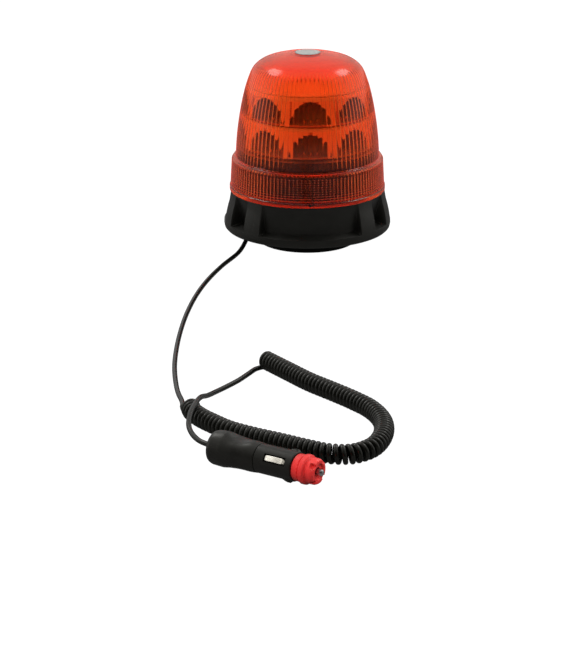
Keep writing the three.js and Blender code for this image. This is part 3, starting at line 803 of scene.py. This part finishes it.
piece("skirt_housing", housing(), SKIRT_PLASTIC, ["base_housing"], sharp=50)

FOOT_RADIUS = radius_of("rubber_boot")
FOOT_TOP = high("rubber_boot")
boot_outline = rounded(
    [
        (0, 0),
        (FOOT_RADIUS - 1.6, 0, 0.8),
        (FOOT_RADIUS, 1.8, 1.2),
        (FOOT_RADIUS, FOOT_TOP, 1.4),
        (40.3, FOOT_TOP, 0.5),
        (40.3, 1.5),
        (0, 1.5),
    ]
)
piece("magnet_boot", turned(boot_outline), RUBBER, ["rubber_boot"])


def gland():
    """An elbow under the base plate with a tapered, grooved nozzle."""
    elbow = moved(
        turned(rounded([(0, 2.4), (4.6, 2.4, 1.4), (4.6, 12.9, 0.3), (0, 12.9)]), 48),
        Matrix.Translation((*GLAND_PLACE, 0)),
    )
    outline = [(0.0, 0.0), (3.7, 0.0), (3.7, 4.0)]
    for k in range(NOZZLE_GROOVES):
        start, radius = 4.5 + k * 2.2, 3.5 - k * 0.15
        outline += [(radius, start), (radius, start + 1.1)]
        outline += [(radius - 0.5, start + 1.3), (radius - 0.5, start + 1.9)]
    outline += [(2.8, NOZZLE_LENGTH), (2.1, NOZZLE_LENGTH)]
    outline += [(2.1, NOZZLE_LENGTH - 3), (0.0, NOZZLE_LENGTH - 3)]
    lay = Matrix.Rotation(math.radians(NOZZLE_HEADING), 4, "Z") @ Matrix.Rotation(math.pi / 2, 4, "Y")
    nozzle = moved(turned(outline, 40), Matrix.Translation((*GLAND_PLACE, NOZZLE_HEIGHT)) @ lay)
    return joined(elbow, nozzle)


piece("cord_gland", gland(), RUBBER, ["cable_gland"])

# ---------------------------------------------------------------- drum, boards, reflectors and LEDs

DRUM_TOP = high("heat_sink_drum")
drum_outline = rounded(
    [
        (50.1, 48.7),
        (54, 48.7, 0.4),
        (54, 76.5, 1.5),
        (60, 78.2, 0.8),
        (60, DRUM_TOP, 0.6),
        (2.6, DRUM_TOP),
        (2.6, DRUM_TOP - 4),
        (50.1, DRUM_TOP - 4),
    ]
)
drum = piece(
    "drum_casting", turned(drum_outline, 180), BLACK_ALUMINIUM, ["heat_sink_drum"]
)
drum.data.materials.append(ALUMINIUM)
for face in drum.data.polygons:
    face.material_index = int(face.normal.z > 0.9 and face.center.z / MM > DRUM_TOP - 0.2)

BOWLS = 8
BOWL_ANGLES = [FACING + 360 / BOWLS * k for k in range(BOWLS)]
BOWL_AXES = (24, 17, 21)
BOWL_FLOOR = 2.6  # above the underside of the LED board
REFLECTOR_RADIUS = 53
LED_RING = 38
CORE_CLEARANCE = 13.2
LIP_RADIUS = 51.5  # inside of the lip that hides a board's edge


def carve(target, cutters):
    """Cuts each cutter out of the target's mesh."""
    for cutter in cutters:
        modifier = target.modifiers.new("cut", "BOOLEAN")
        modifier.operation = "DIFFERENCE"
        modifier.solver = "EXACT"
        modifier.object = cutter
    evaluated = target.evaluated_get(bpy.context.evaluated_depsgraph_get())
    target.data = bpy.data.meshes.new_from_object(evaluated)
    target.modifiers.clear()
    for cutter in cutters:
        bpy.data.objects.remove(cutter)
    smooth(target, 35)


def bowl_place(angle, floor):
    """Where a ball of radius 1 becomes a bowl's ellipsoid."""
    turn = Matrix.Rotation(math.radians(angle), 4, "Z")
    centre = Matrix.Translation(polar(REFLECTOR_RADIUS, angle, floor))
    return centre @ turn @ Matrix.Diagonal((*BOWL_AXES, 1))


def bowl_cutter(angle, floor):
    """Half an ellipsoid, flat underneath, that stands at the reflector's edge."""
    rows, columns = 16, 64
    tilts = [math.pi / 2 * i / rows for i in range(rows + 1)]
    rings = [ring(math.sin(tilt), math.cos(tilt), columns) for tilt in tilts]
    rings.append(ring(0, 0, columns))
    return object_from("bowl", moved(skin(rings), bowl_place(angle, floor)))


CHIP_HALF = 2.5
CHIP_HEIGHT = 0.6
LED_LENS_RADIUS = 1.95
LED_LENS_HEIGHT = 1.2


def led():
    """A ceramic chip with a domed silicone lens, standing on the origin."""

    def square(half, height, power):
        """A level ring, round at power 2 and nearly square at power 9."""
        points = []
        for k in range(32):
            angle = FULL_TURN * k / 32
            c, s = math.cos(angle), math.sin(angle)
            reach = half / (abs(c) ** power + abs(s) ** power) ** (1 / power)
            points.append((reach * c, reach * s, height))
        return points

    rings = [
        [(0, 0, 0)],
        square(CHIP_HALF, 0, 9),
        square(CHIP_HALF, CHIP_HEIGHT - 0.1, 9),
        square(CHIP_HALF - 0.08, CHIP_HEIGHT, 9),
    ]
    for k in range(7):
        tilt = math.pi / 2 * k / 7
        height = CHIP_HEIGHT + LED_LENS_HEIGHT * math.sin(tilt)
        rings.append(square(LED_LENS_RADIUS * math.cos(tilt), height, 2))
    return skin([*rings, [(0, 0, CHIP_HEIGHT + LED_LENS_HEIGHT)]])


for tier in ("lower", "upper"):
    board, mirror = f"led_board_{tier}", f"reflector_{tier}"
    board_outline = rounded(
        [
            (CORE_CLEARANCE, low(board)),
            (LIP_RADIUS - 0.3, low(board), 0.2),
            (LIP_RADIUS - 0.3, high(board), 0.2),
            (CORE_CLEARANCE, high(board)),
        ],
        2,
    )
    piece(f"light_board_{tier}", turned(board_outline), BOARD, [board])
    floor, ceiling = low(mirror), high(mirror)
    mirror_outline = rounded(
        [
            (CORE_CLEARANCE, floor),
            (LIP_RADIUS, floor),
            (LIP_RADIUS, low(board) + 0.9),
            (REFLECTOR_RADIUS - 0.2, low(board) + 0.9, 0.3),
            (REFLECTOR_RADIUS, ceiling - 2.6, 1.5),
            (REFLECTOR_RADIUS - 1.8, ceiling, 1.2),
            (CORE_CLEARANCE, ceiling),
        ]
    )
    tray = piece(f"bowl_tray_{tier}", turned(mirror_outline, 144), MIRROR_COAT, [mirror])
    bowl_floor = low(board) + BOWL_FLOOR
    carve(tray, [bowl_cutter(angle, bowl_floor) for angle in BOWL_ANGLES])
    # Faces inside the bowls take the darker coat, which paints shade into the bowls.
    tray.data.materials.append(SHADED_BOWL_COAT)
    balls = [bowl_place(angle, bowl_floor).inverted() for angle in BOWL_ANGLES]
    for face in tray.data.polygons:
        place = face.center / MM
        face.material_index = int(min((ball @ place).length for ball in balls) < 1.02)
    for k, angle in enumerate(BOWL_ANGLES):
        node = f"led_{tier}_{k + 1}"
        stand = Matrix.Translation(polar(LED_RING, angle, low(node)))
        turn = Matrix.Rotation(math.radians(angle), 4, "Z")
        chip = piece(f"chip_{tier}_{k + 1}", moved(led(), stand @ turn), LED_CERAMIC, [node])
        chip.data.materials.append(LED_YELLOW)
        for face in chip.data.polygons:
            face.material_index = int(face.center.z / MM > low(node) + CHIP_HEIGHT + 0.05)

cap_low, cap_high = low("reflector_cap"), high("reflector_cap")
cap_outline = rounded(
    [
        (2.3, cap_low),
        (50, cap_low, 0.3),
        (50, cap_low + 1.2, 0.5),
        (46, cap_low + 2.6, 2),
        (2.3, cap_high),
    ]
)
piece("mirror_cap", turned(cap_outline), MIRROR_COAT, ["reflector_cap"])

# ---------------------------------------------------------------- plug, in its own frame, along its axis

PLUG = Matrix.Translation(PLUG_ORIGIN) @ PLUG_AXIS.to_track_quat("X", "Z").to_matrix().to_4x4()
CONTACT_ANGLES = {"near": 59, "far": -121}
LUG_ANGLES = (149, -31)
BARREL_RADIUS = 10.45
PLUG_SEGMENTS = 144


def plug_surface(outline, radius_at=None, segments=PLUG_SEGMENTS):
    """A closed surface about the plug's axis from (distance, radius) points.
    Angles run from straight up towards the side away from the beacon."""
    rings = []
    for s, r in outline:
        if r < 1e-6:
            rings.append([(s, 0.0, 0.0)])
            continue
        points = []
        for k in range(segments):
            degrees = 360 * k / segments
            at = radius_at(s, r, degrees) if radius_at else r
            angle = math.radians(degrees)
            points.append((s, -at * math.sin(angle), at * math.cos(angle)))
        rings.append(points)
    closed = outline[0][1] > 1e-6
    return moved(skin(rings, closed), PLUG)


def fine(outline, step):
    """The outline with extra points, so that no stretch is longer than step."""
    made = []
    for i, (s, r) in enumerate(outline):
        after = outline[(i + 1) % len(outline)]
        count = max(1, math.ceil(math.dist((s, r), after) / step))
        for k in range(count):
            t = k / count
            made.append((s + (after[0] - s) * t, r + (after[1] - r) * t))
    return made


def grip():
    """The hollow handle, with a dish above and below and a seam along each side."""
    outline = rounded(
        [
            (GRIP_REAR, 3.8),
            (GRIP_REAR, 11.2, 2.2),
            (GRIP_REAR + 3, 12.3, 3),
            (12, 12.6, 8),
            (22, 12.3, 8),
            (31, 11.4, 8),
            (39.8, 10.6, 0.4),
            (39.8, 8.3),
            (6, 8.3),
            (6, 3.8),
        ],
        7,
    )

    def radius_at(s, r, degrees):
        if r < 9:
            return r
        hump = 0.5 * lobe(s - 11, 9) * lobe(apart(degrees, 0), 60)
        dish = 0.0
        for side in (0, 180):
            dish += 2.4 * lobe(s - 23.5, 12.5) * lobe(apart(degrees, side), 58)
        seam = 0.16 * sum(lobe(apart(degrees, side), 3.2) for side in (90, 270))
        return r + hump - dish - seam * ramp(s, 0.5, 3)

    return plug_surface(fine(outline, 0.9), radius_at)


def barrel():
    """The plug's body and nose, with a slot for each side contact and two small lugs."""
    outline = rounded(
        [
            (30, 4.4),
            (30, 8),
            (40.1, 8),
            (40.1, BARREL_RADIUS, 0.35),
            (70, BARREL_RADIUS, 0.7),
            (70, 6, 0.4),
            (83, 6, 0.8),
            (83, 2.8),
            (75, 2.8),
            (75, 4.4),
        ]
    )
    slot_start, slot_end = 47.9, 65.1
    slot_half_angle, slot_floor = 14, 6.7

    def radius_at(s, r, degrees):
        if r < 9:
            return r
        for angle in CONTACT_ANGLES.values():
            if slot_start <= s <= slot_end and apart(degrees, angle) <= slot_half_angle:
                return slot_floor
        lug = 0.0
        for angle in LUG_ANGLES:
            lug += ramp(s, 60.5, 66) * ramp(s, 69, 67.4) * ramp(apart(degrees, angle), 12, 8)
        return r + 1.4 * lug

    rows = fine(outline, 0.6)
    edges = [slot_start - 0.05, slot_start + 0.05, slot_end - 0.05, slot_end + 0.05]
    body_start = next(i for i, (s, r) in enumerate(rows) if r > BARREL_RADIUS - 0.01)
    body = [i for i in range(body_start, len(rows)) if rows[i][1] > BARREL_RADIUS - 0.01]
    stations = sorted({rows[i][0] for i in body} | set(edges))
    rows = rows[: body[0]] + [(s, BARREL_RADIUS) for s in stations] + rows[body[-1] + 1 :]
    return plug_surface(rows, radius_at)


def sleeve():
    """The red sleeve that fits over the nose, with four notches in its end."""
    outline = rounded(
        [
            (70.3, 6.4),
            (70.3, 9.5, 0.5),
            (74.8, 9.6, 0.5),
            (75.6, 8.4, 0.4),
            (76.4, 10.6, 0.7),
            (79.6, 10.5, 0.9),
            (80.8, 8.3, 0.6),
            (82.2, 9.3, 0.6),
            (85.6, 9.2, 0.6),
            (87.5, 8.3, 0.7),
            (87.5, 6.0, 0.4),
            (86.2, 5.4, 0.3),
            (86.2, 3.3),
            (83.6, 3.3),
            (83.6, 6.4),
        ]
    )
    notches = (45, 135, 225, 315)

    def radius_at(s, r, degrees):
        if s > 84 and r > 6.6 and min(apart(degrees, n) for n in notches) < 11:
            return 6.6
        return r

    return plug_surface(fine(outline, 0.8), radius_at)


STRIP_HALF_WIDTH = 1.95
STRIP_HALF_THICKNESS = 0.35
STRIP_CREST = [
    (48.6, 9.5),
    (49.6, 10.1),
    (52.5, 10.9),
    (56, 11.5),
    (59, 11.4),
    (61.6, 10.8),
    (63.2, 10.9),
    (64.4, 9.6),
]


def side_contact(degrees):
    """A bowed strip with rounded edges, its ends tucked into the barrel's slot."""
    path = smooth_line([Vector(p) for p in STRIP_CREST], 0.5)
    angle = math.radians(degrees)
    out = Vector((0, -math.sin(angle), math.cos(angle)))
    across = Vector((0, math.cos(angle), math.sin(angle)))
    rings = [[tuple(Vector((path[0].x, 0, 0)) + out * path[0].y)]]
    for at in path:
        narrow = 1 - 0.25 * ramp(at.x, 62, 64) - 0.2 * ramp(at.x, 50.5, 49)
        points = []
        for k in range(24):
            turn = FULL_TURN * k / 24
            c, s = math.cos(turn), math.sin(turn)
            reach = (abs(c) ** 5 + abs(s) ** 5) ** -0.2
            points.append(
                tuple(
                    Vector((at.x, 0, 0))
                    + out * (at.y + STRIP_HALF_THICKNESS * (reach * s - 1))
                    + across * (STRIP_HALF_WIDTH * narrow * reach * c)
                )
            )
        rings.append(points)
    rings.append([tuple(Vector((path[-1].x, 0, 0)) + out * (path[-1].y - STRIP_HALF_THICKNESS))])
    return moved(skin(rings), PLUG)


grip_piece = piece("grip_shell", grip(), PLUG_PLASTIC, ["plug_grip"], sharp=50)
barrel_piece = piece("barrel_shell", barrel(), PLUG_PLASTIC, ["plug_barrel"])
sleeve_piece = piece(
    "socket_adapter", sleeve(), RED_PLASTIC, ["adapter_sleeve"], body="adapter"
)
pin_outline = [(60, 0), (60, 1.6), (72.5, 1.6), (72.5, 3.9), (74.6, 3.9), (74.6, 2.4), (89.2, 2.4)]
pin_outline += [(90.0, 2.2), (90.5, 1.75), (90.85, 1.1), (91, 0.0)]
pin_piece = piece(
    "contact_pin", plug_surface(pin_outline, segments=48), STEEL, ["centre_pin"], body="pin"
)
contact_pieces = [
    piece(
        f"spring_contact_{side}",
        side_contact(angle),
        NICKEL,
        [f"side_contact_{side}"],
        body=f"{side}_contact",
    )
    for side, angle in CONTACT_ANGLES.items()
]

# ---------------------------------------------------------------- finishes of the CAD parts that stay

FINISHES = {
    "lens_gasket": RUBBER,
    "base_plate": BLACK_ALUMINIUM,
    "magnet_pot": STEEL,
    "magnet_ring": FERRITE,
    "magnet_bolt": STEEL,
    "magnet_nut": STEEL,
    "magnet_spacer": STEEL,
    "heat_sink_core": ALUMINIUM,
    "core_screw": STEEL,
    "driver_board": BOARD,
    "terminal_block": GREEN_PLASTIC,
    "plug_cord_bush": RUBBER,
    "plug_screw": STEEL,
    "fuse_spring": STEEL,
    "glass_fuse": FUSE_GLASS,
}
for kind, finish in (("lens", BLACK_STEEL), ("base", STEEL), ("drum", BLACK_STEEL)):
    FINISHES.update({f"{kind}_screw_{k}": finish for k in (1, 2, 3)})
for node, finish in FINISHES.items():
    mesh = frame["nodes"][node].data
    mesh.materials.clear()
    mesh.materials.append(finish)

# ---------------------------------------------------------------- studio


def light_path(tree, kind):
    """1 for one kind of ray and 0 for the others."""
    return tree.nodes.new("ShaderNodeLightPath").outputs[f"Is {kind} Ray"]


def mapped(tree, value, from_range, to_range):
    """A node that carries a value smoothly from one range to another."""
    node = tree.nodes.new("ShaderNodeMapRange")
    node.interpolation_type = "SMOOTHSTEP"
    numbers = dict(zip(("From Min", "From Max", "To Min", "To Max"), (*from_range, *to_range)))
    for key, number in numbers.items():
        node.inputs[key].default_value = number
    tree.links.new(value, node.inputs["Value"])
    return node


def white_room(front, back):
    """Paper-white where the camera sees it, and behind the lens. Its light on the object is dim from
    the front and brighter from behind and the sides, as in a white sweep."""
    world = bpy.data.worlds.new("studio_world")
    world.use_nodes = True
    tree = world.node_tree
    tree.nodes["Background"].inputs["Color"].default_value = (1, 1, 1, 1)
    place = tree.nodes.new("ShaderNodeTexCoord")
    split = tree.nodes.new("ShaderNodeSeparateXYZ")
    tree.links.new(place.outputs["Generated"], split.inputs["Vector"])
    brightest = mapped(tree, light_path(tree, "Transmission"), (0, 1), (back, 1))
    sweep = mapped(tree, split.outputs["Y"], (-0.75, 0.1), (front, back))
    tree.links.new(brightest.outputs["Result"], sweep.inputs["To Max"])
    strength = mapped(tree, light_path(tree, "Camera"), (0, 1), (0, 1))
    tree.links.new(sweep.outputs["Result"], strength.inputs["To Min"])
    tree.links.new(strength.outputs["Result"], tree.nodes["Background"].inputs["Strength"])
    bpy.context.scene.world = world


def pale_floor(dim, bright, albedo):
    """A wide, level, nearly white sheet under the object."""
    half, drop = 6.0, -0.0002
    mesh = bpy.data.meshes.new("studio_floor")
    corners = [(x * half, y * half, drop) for x, y in ((-1, -1), (1, -1), (1, 1), (-1, 1))]
    mesh.from_pydata(corners, [], [(0, 1, 2, 3)])
    floor = bpy.data.objects.new("studio_floor", mesh)
    bpy.context.scene.collection.objects.link(floor)
    material = bpy.data.materials.new("studio_floor")
    material.use_nodes = True
    tree = material.node_tree
    shader = tree.nodes["Principled BSDF"]
    shader.inputs["Base Color"].default_value = (albedo, albedo, albedo, 1)
    shader.inputs["Roughness"].default_value = 1.0
    shader.inputs["Specular IOR Level"].default_value = 0.0
    shader.inputs["Emission Color"].default_value = (1, 1, 1, 1)
    through = mapped(tree, light_path(tree, "Transmission"), (0, 1), (dim, bright))
    strength = mapped(tree, light_path(tree, "Camera"), (0, 1), (dim, bright))
    tree.links.new(through.outputs["Result"], strength.inputs["To Min"])
    tree.links.new(strength.outputs["Result"], shader.inputs["Emission Strength"])
    mesh.materials.append(material)


def soft_box(name, towards, size, power, distance=1.4, shines=True):
    """An area light that faces the middle of the beacon from a direction. One that does not shine
    leaves no highlight."""
    light = bpy.data.lights.new(name, "AREA")
    light.shape = "ELLIPSE"
    light.size, light.size_y = size
    light.energy = power
    lamp = bpy.data.objects.new(name, light)
    target = Vector((0, 0, high("lens_dome") * MM * 0.7))
    direction = Vector(towards).normalized()
    lamp.location = target + direction * distance
    lamp.rotation_euler = (-direction).to_track_quat("-Z", "Y").to_euler()
    lamp.visible_glossy = shines
    lamp.visible_transmission = shines
    bpy.context.scene.collection.objects.link(lamp)


bpy.context.scene.view_settings.view_transform = "Standard"
white_room(front=0.01, back=0.55)
pale_floor(dim=0.05, bright=1.0, albedo=0.08)
soft_box("highlight_left", (-0.566, 0.292, 0.771), (0.75, 0.45), 3)
soft_box("highlight_right", (0.597, 0.307, 0.741), (0.75, 0.45), 3)
soft_box("front_fill", (-0.15, -1.0, 0.55), (1.6, 1.2), 25, distance=2.2, shines=False)
soft_box("left_fill", (-1.0, -0.1, 0.2), (1.2, 1.2), 26, distance=1.8, shines=False)
soft_box("right_fill", (1.0, -0.1, 0.2), (1.2, 1.2), 22, distance=1.8, shines=False)
soft_box("top_fill", (0.0, -0.25, 1.0), (1.6, 1.6), 16, distance=1.8, shines=False)
